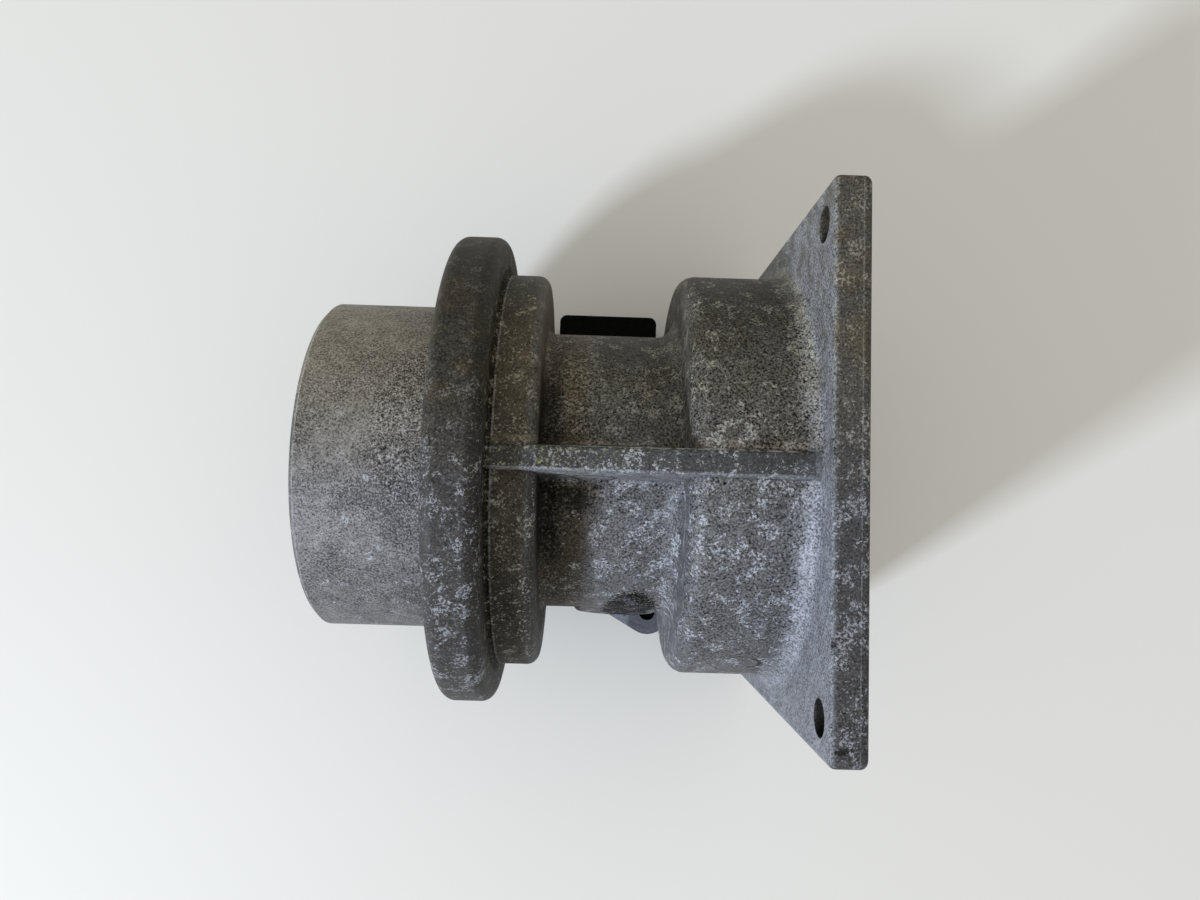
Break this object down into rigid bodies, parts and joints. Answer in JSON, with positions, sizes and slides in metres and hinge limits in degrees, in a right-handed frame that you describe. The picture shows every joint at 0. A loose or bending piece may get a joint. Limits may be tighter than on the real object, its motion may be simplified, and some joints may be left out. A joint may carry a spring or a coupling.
{
  "type": "mass airflow sensor",
  "caption": "Hot-wire mass airflow sensor: cast flow body with square bolted flange, screened inlet, waisted throat with a sensor probe, hose spigot and a plug-in electronics module.",
  "frame": {"origin": "centre of the bolt pattern, on the bore axis at the outer face of the square flange", "axes": "+X along the bore, out of the flange face towards the air box; +Z through the stiffening rib, away from the electronics module; +Y towards the connector's mouth"},
  "size_m": [0.1019, 0.1, 0.1],
  "materials": {
    "cast_aluminium": "rough weathered casting with speckled white oxide",
    "screen_wire": "woven wire",
    "rim_steel": "pressed sheet",
    "spring_steel": "dark oiled spring steel",
    "black_plastic": "moulded, fine grain",
    "cover_plastic": "moulded, fine grain",
    "probe_plastic": "moulded, smooth",
    "plated_steel": "zinc plated, dulled",
    "sealant": "cured bead",
    "seal_rubber": "smooth",
    "sheet_aluminium": "rolled sheet",
    "board": "coated circuit board",
    "component_plastic": "moulded resin",
    "capacitor_ceramic": "fired ceramic",
    "element_glaze": "glazed winding",
    "post_metal": "plated wire",
    "terminal_metal": "tinned strip"
  },
  "bodies": {
    "root": {"housing": "cast_aluminium", "inlet_screen": "screen_wire", "screen_rim": "rim_steel", "screen_snap_ring": "spring_steel", "module_case": "black_plastic", "lug_bushes": "plated_steel", "lock_washers": "plated_steel", "module_screws": "plated_steel", "module_cover": "cover_plastic", "cover_sealant": "sealant", "sensor_holder": "probe_plastic", "holder_o_ring": "seal_rubber", "module_base_plate": "sheet_aluminium", "circuit_board": "board", "power_transistor": "component_plastic", "control_chip": "component_plastic", "chip_capacitors": "capacitor_ceramic", "hot_element": "element_glaze", "cold_element": "element_glaze", "sensor_post_1": "post_metal", "sensor_post_2": "post_metal", "sensor_post_3": "post_metal", "sensor_post_4": "post_metal", "terminal_1": "terminal_metal", "terminal_2": "terminal_metal", "terminal_3": "terminal_metal", "terminal_4": "terminal_metal", "terminal_5": "terminal_metal", "terminal_6": "terminal_metal"}
  },
  "joints": []
}
